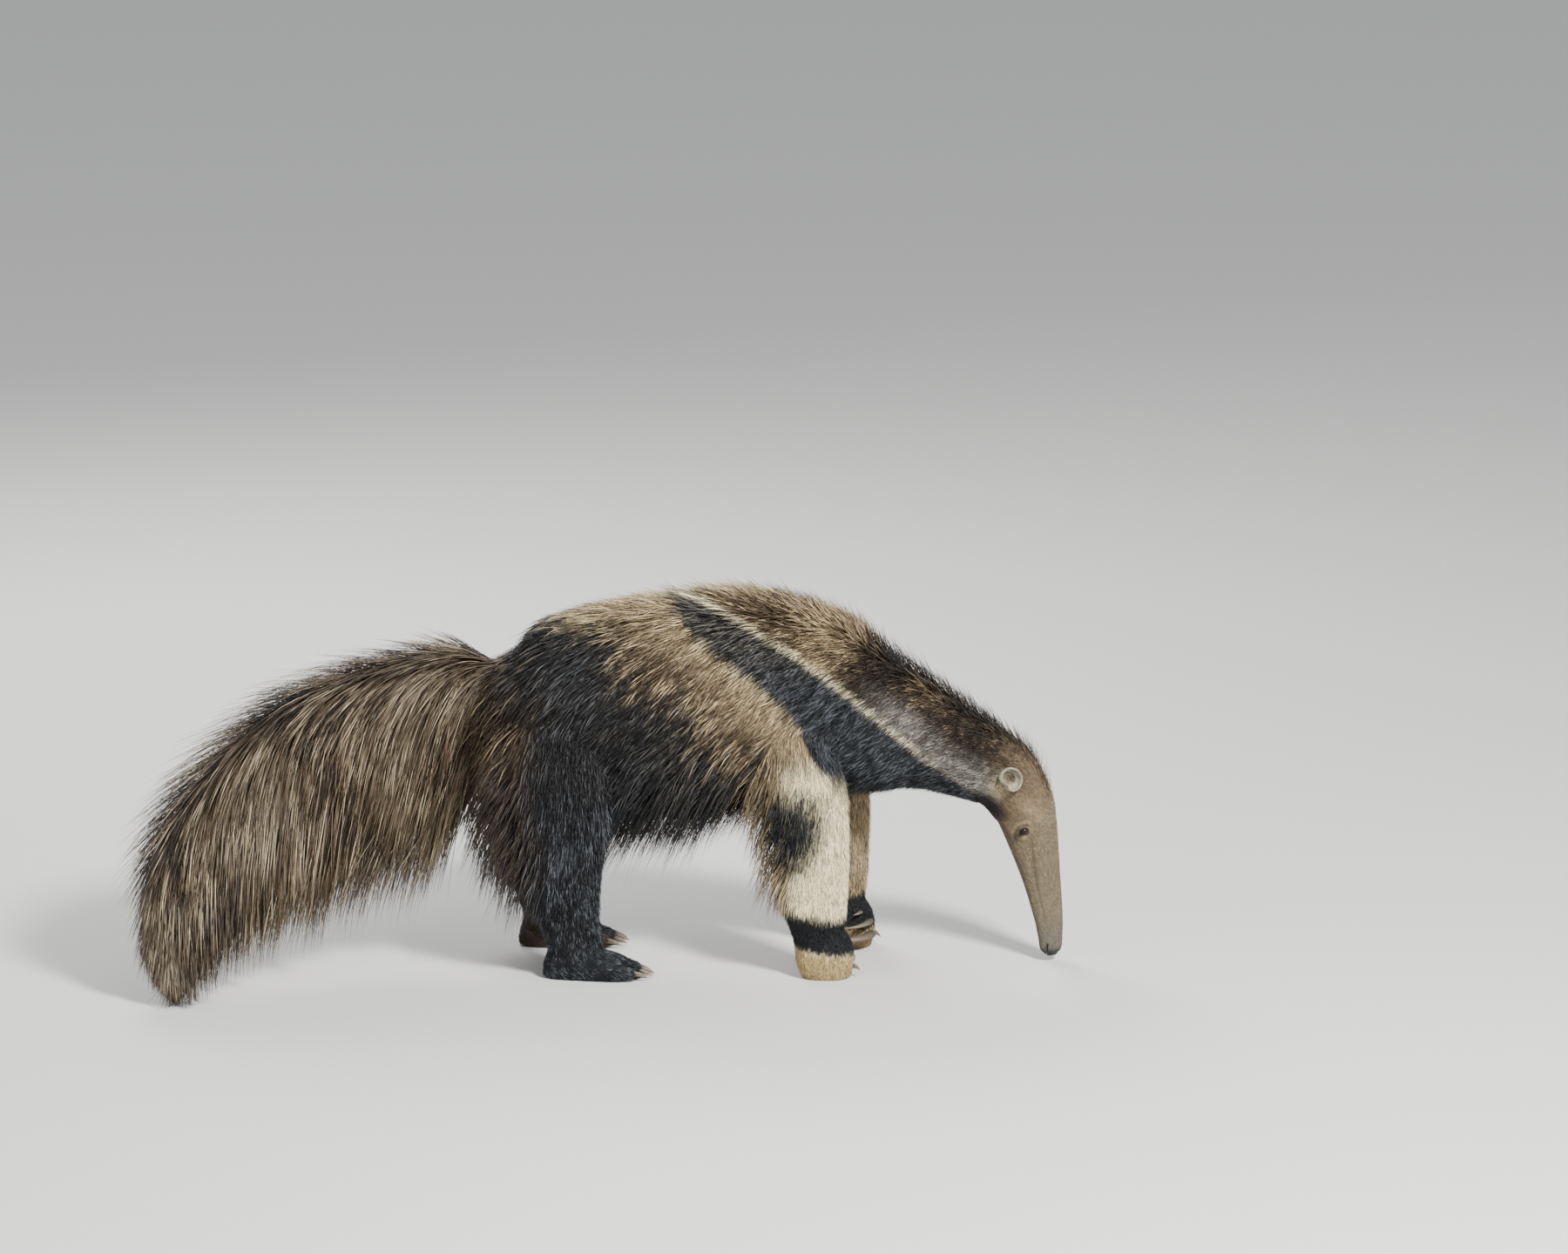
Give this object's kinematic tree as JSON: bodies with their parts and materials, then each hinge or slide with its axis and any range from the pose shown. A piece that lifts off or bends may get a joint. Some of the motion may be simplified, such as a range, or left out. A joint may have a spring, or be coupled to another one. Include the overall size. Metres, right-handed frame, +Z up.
{
  "type": "giant anteater",
  "caption": "Life-size still giant anteater walking with its snout at the ground, long hair hanging from its tail, a crest along its back and curled digging claws.",
  "frame": {"origin": "on the floor, under the middle of the box round the whole animal, tail included", "axes": "+X the way the animal faces, +Y towards its left side, +Z up from the floor"},
  "size_m": [1.5068, 0.4964, 0.6321],
  "materials": {
    "body_coat": "long grizzled brown hair with a black stripe edged in white",
    "head_coat": "very short grey-brown hair",
    "tail_coat": "long coarse grey-brown hair that hangs as a curtain",
    "foreleg_coat": "short white hair with a black patch and a black wrist band",
    "hindleg_coat": "black hair with a grey sheen",
    "paw_coat": "short tan hair over a leathery pad",
    "foot_coat": "short dark hair over a leathery sole",
    "ear_skin": "thin skin with fine pale hair",
    "eye_dark": "wet, near-black brown",
    "claw_horn": "grey-brown horn, worn smooth at the tips"
  },
  "bodies": {
    "root": {"foreleg_left": "foreleg_coat", "forefoot_left": "paw_coat", "hindleg_left": "hindleg_coat", "hindfoot_left": "foot_coat", "foreleg_right": "foreleg_coat", "forefoot_right": "paw_coat", "hindleg_right": "hindleg_coat", "hindfoot_right": "foot_coat", "tail_base": "tail_coat", "tail_middle": "tail_coat", "tail_end": "tail_coat", "eye_left": "eye_dark", "eye_right": "eye_dark", "head": "head_coat", "neck": "body_coat", "torso": "body_coat", "ear_left": "ear_skin", "ear_right": "ear_skin", "foreclaw_first_left": "claw_horn", "foreclaw_second_left": "claw_horn", "foreclaw_third_left": "claw_horn", "foreclaw_fourth_left": "claw_horn", "hindclaw_1_left": "claw_horn", "hindclaw_2_left": "claw_horn", "hindclaw_3_left": "claw_horn", "hindclaw_4_left": "claw_horn", "hindclaw_5_left": "claw_horn", "foreclaw_first_right": "claw_horn", "foreclaw_second_right": "claw_horn", "foreclaw_third_right": "claw_horn", "foreclaw_fourth_right": "claw_horn", "hindclaw_1_right": "claw_horn", "hindclaw_2_right": "claw_horn", "hindclaw_3_right": "claw_horn", "hindclaw_4_right": "claw_horn", "hindclaw_5_right": "claw_horn"}
  },
  "joints": []
}
